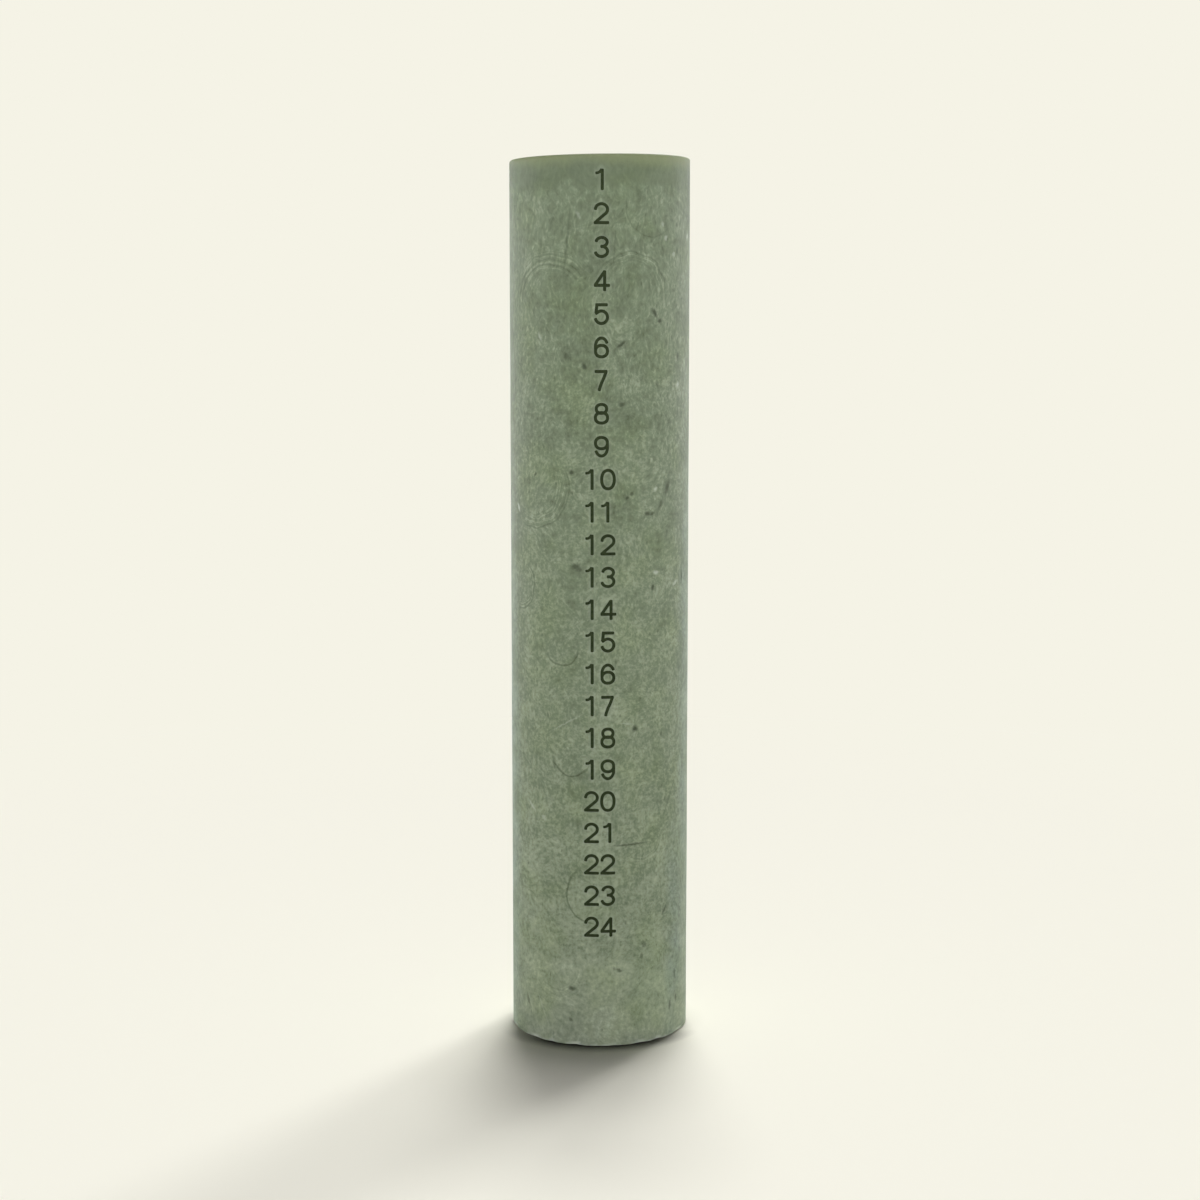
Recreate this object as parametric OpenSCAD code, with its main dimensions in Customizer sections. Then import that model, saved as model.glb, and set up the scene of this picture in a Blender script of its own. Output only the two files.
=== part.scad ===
// Calendar candle: a tall cast wax pillar with a column of day numerals, 1 at the rim to 24 near the base.
// Units are millimetres. The origin is the centre of the base, +Z runs up the candle, -Y is the numeral side.

/* [Wax pillar] */
// Diameter of the pillar
body_d = 51; // [44:0.5:70]
// Height from the base to the rim of the top face
body_h = 250; // [226:1:320]
// Radius of the rounded top rim
rim_r = 0.8; // [0.5:0.1:3]
// Radius that breaks the edge of the base
foot_r = 0.4; // [0.2:0.1:1]
// Width of the flat ring between the rounded rim and the dish
rim_flat = 1.7; // [0.5:0.1:4]
// Depth of the dish that the wax leaves round the wick as it sets
dish_depth = 0.8; // [0.3:0.1:1.2]

/* [Wick] */
// Diameter of the braided wick
wick_d = 2; // [1.4:0.1:3]
// Length of the free wick that lies on the top face
tip_length = 10; // [6:0.5:16]
// Clearance between the free wick and what it turns over
tip_clear = 0.25; // [0.15:0.05:0.5]

/* [Wick clip] */
// Diameter of the clip's disc
clip_d = 20; // [12:0.5:30]
// Thickness of the clip's sheet metal
clip_t = 0.3; // [0.2:0.05:0.5]
// Height of the disc's underside above the base
clip_lift = 0.5; // [0.3:0.1:1]
// Height of the collar above the disc
collar_h = 6; // [3:0.5:10]
// Inside radius of the bend where the disc turns up into the collar
bend_r = 0.5; // [0.3:0.1:1]
// Clearance round the wick, the collar and the disc
fit_clear = 0.05; // [0.03:0.01:0.1]

/* [Numerals] */
// Distance from the rim down to the middle of the first numeral
first_drop = 6.95; // [5:0.05:9]
// Distance from one numeral to the next down the column
numeral_pitch = 9.05; // [7.5:0.05:9.5]
// Height of a digit with a flat top, such as the 1
digit_h = 5.72; // [4.5:0.02:6.5]
// Width of a round digit, such as the 3
digit_w = 4.1; // [3.6:0.05:4.3]
// Overshoot of round strokes past the flat ones, above and below
overshoot = 0.1; // [0:0.01:0.2]
// Width of a printed stroke
stroke_w = 0.8; // [0.6:0.05:1]
// Distance from the tens digit to the units digit
digit_advance = 4.6; // [4.4:0.05:5.4]
// Shift of the single digits to the right of the column's middle line
single_shift = 0.5; // [0:0.05:1]
// Depth to which a numeral is pressed into the wax
press_depth = 0.3; // [0.25:0.01:0.4]
// Thickness of the ink
ink_t = 0.22; // [0.12:0.01:0.22]
// Clearance between the ink and the wax at its sides
ink_clear = 0.04; // [0.02:0.01:0.08]

/* [Hidden] */
NUMERALS = 24;
function numeral_name(n) = str("numeral_", n < 10 ? "0" : "", n);
$fn = 96;

body_r = body_d / 2;
dish_r = body_r - rim_r - rim_flat;
// Radius of the ball that leaves the dish, and the height of its centre
ball_r = (dish_r * dish_r + dish_depth * dish_depth) / (2 * dish_depth);
ball_z = body_h - dish_depth + ball_r;
wick_r = wick_d / 2;
// The free wick lies level, so it clears the dish at its far end, where the dish is highest
wick_top = ball_z - sqrt(ball_r * ball_r - tip_length * tip_length);
pivot_z = wick_top + tip_clear + wick_r;
collar_in_r = wick_r + fit_clear;
collar_out_r = collar_in_r + clip_t;
clip_r = clip_d / 2;
clip_top = clip_lift + clip_t;
collar_top = clip_top + collar_h;
// Radii of the pressed floor under a numeral and of the ink on it
floor_r = body_r - press_depth;
ink_r = floor_r + ink_t;
// Gap under the ink that keeps the two curved faces apart
ink_seat = 0.02;

// Half sizes of the box that a digit's middle lines fill
half_w = (digit_w - stroke_w) / 2;
half_h = (digit_h - stroke_w) / 2;
round_h = half_h + overshoot;
// Length of the rounded cap past the end of a middle line
cap = 0.2;
// Step between points along an arc, in degrees
arc_step = 15;
// Closed loops are a little squarer than an ellipse
bowl_squareness = 2.2;
// How far a cut or an ink blank runs past the surface that it passes through
past = 1;

// Point of an oval at angle a: a squareness of 2 is an ellipse, and more swells it towards its box
function oval_point(centre, radii, a, squareness) =
    let (c = cos(a), s = sin(a), e = 2 / squareness)
    centre + [radii.x * sign(c) * pow(abs(c), e), radii.y * sign(s) * pow(abs(s), e)];

// Points of an oval's arc from angle a0 to angle a1
function arc(centre, radii, a0, a1, squareness = 2) =
    let (count = ceil(abs(a1 - a0) / arc_step))
    [for (i = [0:count]) oval_point(centre, radii, a0 + (a1 - a0) * i / count, squareness)];

function unit(v) = v / norm(v);
function normal(a, b) = let (d = unit(b - a)) [-d.y, d.x];

// Sideways direction at point i of a line, lengthened so that the stroke keeps its width round a corner
function mitre(line, i) =
    let (
        last = len(line) - 1,
        before = normal(line[max(i - 1, 0)], line[max(i, 1)]),
        after = normal(line[min(i, last - 1)], line[min(i + 1, last)])
    )
    (before + after) / (1 + before * after);

// Points of the rounded cap at the end of a line that comes from point a to point b
function cap_points(a, b, w, length) =
    let (along = unit(b - a), side = normal(a, b))
    [for (t = [60:-30:-60]) b + along * length * cos(t) + side * w / 2 * sin(t)];

// A stroke of width w along a middle line, with rounded caps that grow with the width
module stroke(line, w) {
    last = len(line) - 1;
    reach = cap + (w - stroke_w) / 2;
    left = [for (i = [0:last]) line[i] + mitre(line, i) * w / 2];
    right = [for (i = [last:-1:0]) line[i] - mitre(line, i) * w / 2];
    polygon(concat(
        left,
        cap_points(line[last - 1], line[last], w, reach),
        right,
        cap_points(line[1], line[0], w, reach)
    ));
}

function oval(centre, radii) =
    [for (a = [0:arc_step:359]) oval_point(centre, radii, a, bowl_squareness)];

// A closed loop of width w round an oval middle line
module loop(centre, radii, w) {
    difference() {
        polygon(oval(centre, radii + [w, w] / 2));
        polygon(oval(centre, radii - [w, w] / 2));
    }
}

module digit_0(w) {
    loop([0, 0], [half_w + 0.1, round_h], w);
}

module digit_1(w) {
    stem_x = 0.22;
    flag_y = half_h - 0.72;
    stroke([[stem_x, cap - digit_h / 2], [stem_x, digit_h / 2 - cap]], w);
    stroke([[stem_x - 1.73, flag_y], [stem_x - 1.2, flag_y + 0.04], [stem_x - 0.75, flag_y + 0.25],
        [stem_x - 0.38, flag_y + 0.65], [stem_x - 0.2, flag_y + 0.95]], w - 0.1);
}

module digit_2(w) {
    bowl_h = 0.586 * round_h;
    foot_y = -half_h - 0.05;
    stroke(concat(
        arc([0, round_h - bowl_h], [half_w, bowl_h], 180, -46),
        [[-half_w + 0.48, foot_y + 0.52], [-half_w + 0.05, foot_y + 0.1]]
    ), w);
    stroke([[cap - half_w - w / 2, foot_y], [half_w + w / 2 - cap, foot_y]], w);
}

module digit_3(w) {
    upper = 0.477 * round_h;
    lower = 0.539 * round_h;
    stroke(concat(
        arc([0.05, round_h - upper], [half_w - 0.15, upper], 171, -75),
        [[-0.1, round_h - 2 * upper]]
    ), w);
    stroke(concat(
        [[-0.1, lower * 2 - round_h]],
        arc([0, lower - round_h], [half_w, lower], 75, -170)
    ), w);
}

module digit_4(w) {
    stem_x = 0.87;
    bar_y = -0.52 * half_h;
    stroke([[stem_x, cap - digit_h / 2], [stem_x, half_h + 0.1]], w);
    stroke([[stem_x - 0.02, half_h + 0.05], [-half_w - 0.05, bar_y + 0.1]], w);
    stroke([[-half_w - 0.2, bar_y], [half_w + 0.48, bar_y]], w);
}

module digit_5(w) {
    bowl_h = 0.664 * round_h;
    stroke([[half_w - 0.12, half_h + 0.06], [-half_w + 0.4, half_h + 0.06], [-half_w + 0.16, 0.3]], w);
    stroke(concat(
        [[-half_w + 0.13, 0.12]],
        arc([-0.02, bowl_h - round_h], [half_w + 0.02, bowl_h], 128, -166)
    ), w);
}

// One outline round the hook, the left side and the bowl, less the bowl's inside
module digit_6(w) {
    bowl_h = 0.609 * round_h;
    bowl = [0, bowl_h - round_h];
    bowl_radii = [half_w, bowl_h];
    hook = [0, 0.1 * half_h];
    hook_radii = [half_w, round_h - hook.y];
    grow = [w, w] / 2;
    hook_end = 25;
    tip = hook + [hook_radii.x * cos(hook_end), hook_radii.y * sin(hook_end)];
    before_tip = tip + [-hook_radii.x * sin(hook_end), hook_radii.y * cos(hook_end)];
    difference() {
        polygon(concat(
            arc(hook, hook_radii - grow, hook_end, 165),
            arc(bowl, bowl_radii + grow, 482, 195, bowl_squareness),
            arc(hook, hook_radii + grow, 180, hook_end),
            cap_points(before_tip, tip, w, cap + (w - stroke_w) / 2)
        ));
        polygon(oval(bowl, bowl_radii - grow));
    }
}

module digit_7(w) {
    bar_y = half_h + 0.05;
    stroke([[-half_w - 0.02, bar_y], [half_w - 0.2, bar_y]], w);
    stroke([[half_w - 0.37, bar_y - 0.08], [0.4 * half_w, 0.3 * half_h], [0.02 * half_w, -0.24 * half_h],
        [-0.24 * half_w, -0.73 * half_h], [-0.38 * half_w, cap - digit_h / 2]], w);
}

module digit_8(w) {
    upper = 0.477 * round_h;
    lower = 0.563 * round_h;
    loop([0, round_h - upper], [half_w - 0.22, upper], w);
    loop([0, lower - round_h], [half_w + 0.04, lower], w);
}

module digit(d, w) {
    if (d == 0) digit_0(w);
    if (d == 1) digit_1(w);
    if (d == 2) digit_2(w);
    if (d == 3) digit_3(w);
    if (d == 4) digit_4(w);
    if (d == 5) digit_5(w);
    if (d == 6) digit_6(w);
    if (d == 7) digit_7(w);
    if (d == 8) digit_8(w);
    if (d == 9) rotate(180) digit_6(w);
}

// The units of 11 stand closer to the tens, and those of 21 farther off
function units_nudge(n) = n == 11 ? -0.25 : n == 21 ? 0.35 : 0;

// One or two digits, centred on the column's middle line, with strokes of width w
module numeral_outline(n, w) {
    if (n < 10) {
        translate([single_shift, 0]) digit(n, w);
    } else {
        translate([-digit_advance / 2, 0]) digit(floor(n / 10), w);
        translate([digit_advance / 2 + units_nudge(n), 0]) digit(n % 10, w);
    }
}

function numeral_z(n) = body_h - first_drop - (n - 1) * numeral_pitch;

// The outline stood up at its place on the numeral side and run from the axis out past the surface
module numeral_blank(n, w) {
    translate([0, 0, numeral_z(n)])
        rotate([90, 0, 0])
            linear_extrude(body_r + past)
                numeral_outline(n, w);
}

// A length of tube round the axis that is tall enough for one numeral
module numeral_band(n, inner, outer) {
    translate([0, 0, numeral_z(n) - digit_h])
        difference() {
            cylinder(r = outer, h = 2 * digit_h);
            translate([0, 0, -past]) cylinder(r = inner, h = 2 * (digit_h + past));
        }
}

module numeral(n) {
    color([0.14, 0.17, 0.08])
        intersection() {
            numeral_blank(n, stroke_w);
            numeral_band(n, floor_r + ink_seat, ink_r);
        }
}

module numeral_recess(n) {
    intersection() {
        numeral_blank(n, stroke_w + 2 * ink_clear);
        numeral_band(n, floor_r, body_r + past);
    }
}

// Half section of the pillar: rounded rim, dished top, broken lower edge
module pillar_section() {
    difference() {
        union() {
            translate([0, foot_r]) square([body_r, body_h - rim_r - foot_r]);
            square([body_r - foot_r, body_h - rim_r]);
            square([body_r - rim_r, body_h]);
            translate([body_r - rim_r, body_h - rim_r]) circle(r = rim_r);
            translate([body_r - foot_r, foot_r]) circle(r = foot_r);
        }
        translate([0, ball_z]) circle(r = ball_r, $fn = 720);
    }
}

// Half section of the room that the clip takes in the base, and of the wick's bore above it
module clip_and_wick_section() {
    translate([0, -past]) square([clip_r + fit_clear, clip_top + past]);
    square([collar_out_r + fit_clear, collar_top + fit_clear]);
    square([wick_r + fit_clear, body_h + past]);
    difference() {
        translate([collar_out_r, 0]) square([bend_r, clip_top + bend_r]);
        translate([collar_out_r + bend_r, clip_top + bend_r]) circle(r = bend_r - fit_clear);
    }
}

module wax_body() {
    color([0.48, 0.53, 0.43])
        difference() {
            rotate_extrude()
                difference() {
                    pillar_section();
                    clip_and_wick_section();
                }
            for (n = [1:NUMERALS]) numeral_recess(n);
        }
}

module wick() {
    color([0.93, 0.91, 0.82])
        translate([0, 0, clip_lift]) cylinder(r = wick_r, h = wick_top - clip_lift);
}

// The free end turns about the pivot, where the lying and the standing wick would cross
module wick_tip() {
    color([0.95, 0.93, 0.85])
        translate([0, 0, pivot_z]) {
            sphere(r = wick_r);
            rotate([-90, 0, 0]) cylinder(r = wick_r, h = tip_length);
        }
}

// Half section of the clip: a disc, a quarter bend and a collar of one sheet thickness
module clip_section() {
    outer_bend_r = bend_r + clip_t;
    translate([collar_out_r + bend_r, clip_lift]) square([clip_r - collar_out_r - bend_r, clip_t]);
    translate([collar_in_r, clip_top + bend_r]) square([clip_t, collar_h - bend_r]);
    translate([collar_out_r + bend_r, clip_top + bend_r])
        intersection() {
            difference() {
                circle(r = outer_bend_r);
                circle(r = bend_r);
            }
            translate([-outer_bend_r, -outer_bend_r]) square(outer_bend_r);
        }
}

module wick_clip() {
    color([0.78, 0.79, 0.8])
        rotate_extrude() clip_section();
}

wax_body();
wick();
wick_tip();
wick_clip();
for (n = [1:NUMERALS]) numeral(n);
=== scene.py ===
# %% [markdown]
# # A calendar candle
# A tall pillar of grey-green stearin wax with the days 1 to 24 pressed and inked down its front.
# Sizes are in millimetres until a mesh is made, because that is how a candle maker would give them;
# Blender's own unit is the metre, so each mesh is scaled by MM once, when it is written.

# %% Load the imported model
import math

import bmesh
import bpy
import numpy as np
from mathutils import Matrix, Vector
from mathutils.geometry import delaunay_2d_cdt


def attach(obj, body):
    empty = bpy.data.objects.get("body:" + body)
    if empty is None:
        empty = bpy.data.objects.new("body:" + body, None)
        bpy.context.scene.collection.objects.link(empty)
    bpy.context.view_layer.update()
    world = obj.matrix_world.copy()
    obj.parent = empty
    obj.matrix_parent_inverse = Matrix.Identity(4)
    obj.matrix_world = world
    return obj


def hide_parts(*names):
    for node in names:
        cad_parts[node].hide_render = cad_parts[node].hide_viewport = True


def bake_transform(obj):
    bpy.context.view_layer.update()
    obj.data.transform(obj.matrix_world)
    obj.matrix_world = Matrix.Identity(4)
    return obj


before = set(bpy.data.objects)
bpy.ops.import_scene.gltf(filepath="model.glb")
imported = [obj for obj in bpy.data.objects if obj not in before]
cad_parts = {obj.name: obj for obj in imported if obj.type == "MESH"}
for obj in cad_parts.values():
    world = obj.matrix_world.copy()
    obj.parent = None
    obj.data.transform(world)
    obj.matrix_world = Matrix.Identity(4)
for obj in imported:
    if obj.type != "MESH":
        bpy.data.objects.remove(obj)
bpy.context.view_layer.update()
MM = 0.001

# %% [markdown]
# ## Sizes
# The candle's own sizes repeat those of the imported solids.

# %% Sizes of the candle
BODY_R, BODY_H = 25.5, 250.0
RIM_R, FOOT_R, RIM_FLAT = 0.8, 0.4, 1.7
DISH_DEPTH = 0.8
PRESS_DEPTH = 0.3
WICK_R, TIP_LENGTH, TIP_CLEAR = 1.0, 10.0, 0.25
CLIP_R, CLIP_T, CLIP_LIFT, COLLAR_H, BEND_R, FIT = 10.0, 0.3, 0.5, 6.0, 0.5, 0.05
DISH_R = BODY_R - RIM_R - RIM_FLAT
BALL_R = (DISH_R**2 + DISH_DEPTH**2) / (2 * DISH_DEPTH)
BALL_Z = BODY_H - DISH_DEPTH + BALL_R
WICK_TOP = BALL_Z - math.sqrt(BALL_R**2 - TIP_LENGTH**2)
PIVOT_Z = WICK_TOP + TIP_CLEAR + WICK_R
CLIP_TOP = CLIP_LIFT + CLIP_T
COLLAR_IN = WICK_R + FIT
COLLAR_OUT = COLLAR_IN + CLIP_T
COLLAR_TOP = CLIP_TOP + COLLAR_H

# %% [markdown]
# ## Helpers
# Every piece is a set of points and triangles worked out with numpy. Writing them with foreach_set
# is far quicker than a loop, and the same functions serve the wax, the wick and the clip.

# %% Helpers for meshes
def write_mesh(name, points, triangles, sharp_degrees=40):
    """Makes a smooth-shaded object from points in millimetres and triangles of point numbers.
    Points that no triangle uses are left out. Edges that turn more than sharp_degrees stay sharp."""
    used = np.unique(triangles)
    renumber = np.full(len(points), -1)
    renumber[used] = np.arange(len(used))
    triangles = renumber[triangles]
    mesh = bpy.data.meshes.new(name)
    mesh.vertices.add(len(used))
    mesh.vertices.foreach_set("co", (points[used] * MM).astype(np.float32).ravel())
    mesh.loops.add(triangles.size)
    mesh.loops.foreach_set("vertex_index", triangles.astype(np.int32).ravel())
    mesh.polygons.add(len(triangles))
    mesh.polygons.foreach_set("loop_start", np.arange(0, triangles.size, 3, dtype=np.int32))
    mesh.update(calc_edges=True)
    mesh.shade_smooth()
    mesh.set_sharp_from_angle(angle=math.radians(sharp_degrees))
    piece = bpy.data.objects.new(name, mesh)
    bpy.context.scene.collection.objects.link(piece)
    print(f"{name}: {len(used)} points, {len(triangles)} triangles")
    return piece, used


def write_attribute(piece, name, values, domain="POINT"):
    """Stores one number per point, or per corner of a triangle, on the mesh, for a material to read."""
    layer = piece.data.attributes.new(name, "FLOAT", domain)
    layer.data.foreach_set("value", values.astype(np.float32))


def cell_triangles(ids, keep=None):
    """Two triangles for every cell of a grid of point numbers, or only for the cells that keep marks."""
    cells = np.stack([ids[:-1, :-1], ids[:-1, 1:], ids[1:, 1:], ids[1:, :-1]], -1)
    cells = cells.reshape(-1, 4) if keep is None else cells[keep]
    return np.concatenate([cells[:, [0, 1, 2]], cells[:, [0, 2, 3]]])


def signed_volume(points, triangles):
    """Volume inside closed triangles: the sum of a . (b x c) / 6, negative where they face inwards."""
    a, b, c = points[triangles[:, 0]], points[triangles[:, 1]], points[triangles[:, 2]]
    return np.einsum("ij,ij->i", a, np.cross(b, c)).sum() / 6


def arc(centre, radius, start, end, count):
    """Points of a circular arc: the centre plus the radius times (cos a, sin a), a in degrees."""
    a = np.radians(np.linspace(start, end, count))
    return np.stack([centre[0] + radius * np.cos(a), centre[1] + radius * np.sin(a)], 1)


def steps(start, end, spacing):
    """Points on a straight line from start to end, about spacing apart."""
    start, end = np.array(start, float), np.array(end, float)
    count = max(1, round(np.linalg.norm(end - start) / spacing))
    return start + (end - start) * np.linspace(0, 1, count + 1)[:, None]


# %% [markdown]
# ## The pillar's section
# A pillar candle is cast in a tube, so it is a profile turned round its axis. The profile is closed:
# it runs out along the base, up the side, over the rounded rim, down into the dish that the wax
# leaves as it sets, down the wick's bore and round the room of the clip in the base.

# %% The closed profile
ROW = 1.0  # height of a row of triangles on the side
base = steps([CLIP_R + FIT, 0], [BODY_R - FOOT_R, 0], 1.1)
foot = arc([BODY_R - FOOT_R, FOOT_R], FOOT_R, -90, 0, 6)
wall = steps([BODY_R, FOOT_R], [BODY_R, BODY_H - RIM_R], ROW)
rim = arc([BODY_R - RIM_R, BODY_H - RIM_R], RIM_R, 0, 90, 12)
dish_r = np.concatenate([np.linspace(DISH_R, 3, 26), np.linspace(2.7, COLLAR_IN, 8)])
dish = np.stack([dish_r, BALL_Z - np.sqrt(BALL_R**2 - dish_r**2)], 1)
bore = steps([COLLAR_IN, WICK_TOP - 1], [COLLAR_IN, COLLAR_TOP + FIT], 12)
room = np.concatenate([
    steps([COLLAR_OUT + FIT, COLLAR_TOP + FIT], [COLLAR_OUT + FIT, CLIP_TOP + BEND_R], 2),
    arc([COLLAR_OUT + BEND_R, CLIP_TOP + BEND_R], BEND_R - FIT, 180, 270, 5)[1:],
    steps([COLLAR_OUT + BEND_R, CLIP_TOP], [CLIP_R + FIT, CLIP_TOP], 1.2),
    steps([CLIP_R + FIT, CLIP_TOP], [CLIP_R + FIT, 0], 0.4)[1:-1],
])
profile = np.concatenate([base, foot[1:], wall[1:], rim[1:], dish, bore, room])
FIRST_WALL = len(base) + len(foot) - 2
LAST_WALL = FIRST_WALL + len(wall) - 1
print("profile:", len(profile), "points; wall rows", FIRST_WALL, "to", LAST_WALL)

# %% [markdown]
# ## What a mould leaves
# A cast surface is never a perfect cylinder. The wax shrinks by a few hundredths of a millimetre here
# and there, the top is poured slightly out of level, and the lower edge loses small chips when the
# candle is knocked out of its mould. All of these only take wax away, so the candle keeps its size.

# %% Waviness, slope, ripples and chips
rng = np.random.default_rng(24)
WAVES, WAVE_DEPTH = 14, 0.03
wave_turns = rng.integers(1, 9, WAVES)
wave_up = rng.uniform(0.02, 0.22, WAVES)
wave_phase = rng.uniform(0, 2 * np.pi, WAVES)


def waviness(angle, z):
    """How far the side lies inside the true cylinder: a sum of cosines round and up the candle,
    scaled to run from 0 to WAVE_DEPTH."""
    total = np.zeros(np.broadcast(angle, z).shape)
    for turns, up, phase in zip(wave_turns, wave_up, wave_phase):
        total += np.cos(turns * angle + up * z + phase) / WAVES
    return WAVE_DEPTH * np.clip(0.5 + 1.2 * total, 0, 1)


CHIPS = [
    (-16, 1.6, 0.30), (-33, 1.2, 0.16), (-47, 2.2, 0.22), (9, 1.0, 0.12), (27, 1.8, 0.18), (41, 1.3, 0.24),
    (63, 2.4, 0.26), (-74, 1.7, 0.2), (96, 1.5, 0.3), (131, 2.6, 0.22), (170, 1.4, 0.3), (-112, 2.0, 0.26),
    (-149, 1.6, 0.18),
]


def chipped(angle, z):
    """Depth of the chips in the lower edge: a bell curve round each chip's middle (degrees, half width
    and depth in mm), fading out upwards within a millimetre."""
    depth = np.zeros(np.broadcast(angle, z).shape)
    for middle, half_width, deep in CHIPS:
        away = np.angle(np.exp(1j * (angle - math.radians(middle)))) * BODY_R
        depth = np.maximum(depth, deep * np.exp(-(away / half_width) ** 2))
    return depth * np.clip(1 - z / 1.3, 0, 1)


TOP_SLOPE = 0.0125  # rise of the top per mm to the right
CHIP_REACH = 1.2  # how far in from the side a chip reaches, in mm
RIPPLE, CREEP, CREEP_WIDTH = 0.035, 0.22, 0.8


def near_top(z):
    """0 on the side, rising to 1 over the last millimetres below the top."""
    return np.clip((z - BODY_H + 4) / 2.5, 0, 1)


def cast(angle, radius, z):
    """Points of the cast wax for an angle from the front, a radius and a height of the ideal profile.
    The side is wavy and chipped, the top slopes, the dish carries faint ripples from the setting, and
    the wax creeps up the wick by a fifth of a millimetre."""
    skin = np.clip((radius - (DISH_R + 1.0)) / 1.0, 0, 1)
    outer = radius - BODY_R + CHIP_REACH
    r = radius - waviness(angle, z) * skin - chipped(angle, z) * np.clip(outer, 0, 1)
    lift = chipped(angle, z) * np.clip(outer / CHIP_REACH, 0, 1) * 0.8 * (z < 0.3)
    on_top = near_top(z) * (radius > COLLAR_IN + 0.01)
    tilt = TOP_SLOPE * radius * np.sin(angle) * on_top
    in_dish = np.clip((DISH_R + 1 - radius) / 3, 0, 1) * on_top
    ripple = in_dish * RIPPLE * np.sin(1.9 * radius + 1.1 * np.sin(2 * angle + 0.4) + 0.6 * np.sin(3 * angle))
    collar = CREEP * np.exp(-(radius - COLLAR_IN) / CREEP_WIDTH) * on_top * in_dish
    return np.stack([r * np.sin(angle), -r * np.cos(angle), z + lift + tilt + ripple + collar], -1)


COLUMNS = 180
angles = np.radians(np.arange(COLUMNS) * 360 / COLUMNS - 180)
grid = cast(angles[None, :], profile[:, :1], profile[:, 1:])
print("grid:", grid.shape)

# %% [markdown]
# ## Where the numerals are pressed in
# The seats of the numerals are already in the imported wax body. Their outlines are the edges between
# the outer skin and the walls of the seats, so they are read from there instead of being drawn again:
# the ink then fits its seat exactly.

# %% Outlines of the pressed seats
def merged_copy(node):
    """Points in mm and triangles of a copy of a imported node, with its loose triangles merged."""
    bm = bmesh.new()
    bm.from_mesh(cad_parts[node].data)
    bmesh.ops.remove_doubles(bm, verts=bm.verts, dist=1e-6)
    bmesh.ops.triangulate(bm, faces=bm.faces)
    mesh = bpy.data.meshes.new("merged")
    bm.to_mesh(mesh)
    bm.free()
    points = np.empty(len(mesh.vertices) * 3, np.float32)
    mesh.vertices.foreach_get("co", points)
    corners = np.empty(len(mesh.polygons) * 3, np.int32)
    mesh.loops.foreach_get("vertex_index", corners)
    bpy.data.meshes.remove(mesh)
    return points.reshape(-1, 3).astype(float) / MM, corners.reshape(-1, 3)


def directed_edges(triangles):
    """The three edges of each triangle, in its own turning direction."""
    return np.concatenate([triangles[:, [0, 1]], triangles[:, [1, 2]], triangles[:, [2, 0]]])


def border(triangles):
    """Directed edges that only one triangle of the set has."""
    edges = directed_edges(triangles)
    stride = int(triangles.max()) + 1
    key = np.sort(edges, 1) @ np.array([stride, 1])
    _, first, count = np.unique(key, return_index=True, return_counts=True)
    return edges[first[count == 1]]


cad_points, cad_triangles = merged_copy("wax_body")
cad_r = np.hypot(cad_points[:, 0], cad_points[:, 1])
skin = (np.abs(cad_r - BODY_R) < 0.004)[cad_triangles].all(1)
edges = border(cad_triangles[skin])
middle = cad_points[edges].mean(1)
edges = edges[(middle[:, 1] < -20) & (middle[:, 2] > 2) & (middle[:, 2] < BODY_H - RIM_R - 0.5)]
outline_ids, edges = np.unique(edges, return_inverse=True)
outline = cad_points[outline_ids][:, [0, 2]]
outline_edges = edges.reshape(-1, 2)
print("outline:", len(outline), "points,", len(outline_edges), "edges")

# %% [markdown]
# ## The printed strip
# Round the numerals the regular grid gives way to a triangulation that keeps the outlines, made by
# Blender's own constrained Delaunay routine. Extra points a little way off each outline let the edge
# of the seat roll over softly, as warm wax does round a stamp, where a plain cut would look like paper.

# %% Distances to the outlines
def nearest_outline(points, reach=1.5):
    """Distance from each point (x, z) to the nearest outline edge, and whether it lies in a seat.
    The distance is to the closest point of each edge; a point is inside where a line from it to the
    left crosses an odd number of edges. Only edges less than reach above or below are measured."""
    distance = np.full(len(points), reach)
    inside = np.zeros(len(points), bool)
    a, b = outline[outline_edges[:, 0]], outline[outline_edges[:, 1]]
    for low in np.arange(20, BODY_H, 3.0):
        rows = np.where((points[:, 1] >= low) & (points[:, 1] < low + 3))[0]
        near = (np.maximum(a[:, 1], b[:, 1]) > low - reach) & (np.minimum(a[:, 1], b[:, 1]) < low + 3 + reach)
        if not len(rows) or not near.any():
            continue
        p, s, e = points[rows][:, None], a[near][None], b[near][None]
        along = e - s
        t = np.clip(((p - s) * along).sum(-1) / np.maximum((along**2).sum(-1), 1e-12), 0, 1)
        gap = np.linalg.norm(p - s - t[..., None] * along, axis=-1)
        distance[rows] = np.minimum(distance[rows], gap.min(1))
        crosses = (s[..., 1] > p[..., 1]) != (e[..., 1] > p[..., 1])
        rise = np.where(np.abs(along[..., 1]) < 1e-12, 1, along[..., 1])
        at = s[..., 0] + (p[..., 1] - s[..., 1]) / rise * along[..., 0]
        inside[rows] = (crosses & (at < p[..., 0])).sum(1) % 2 == 1
    return distance, inside


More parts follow.
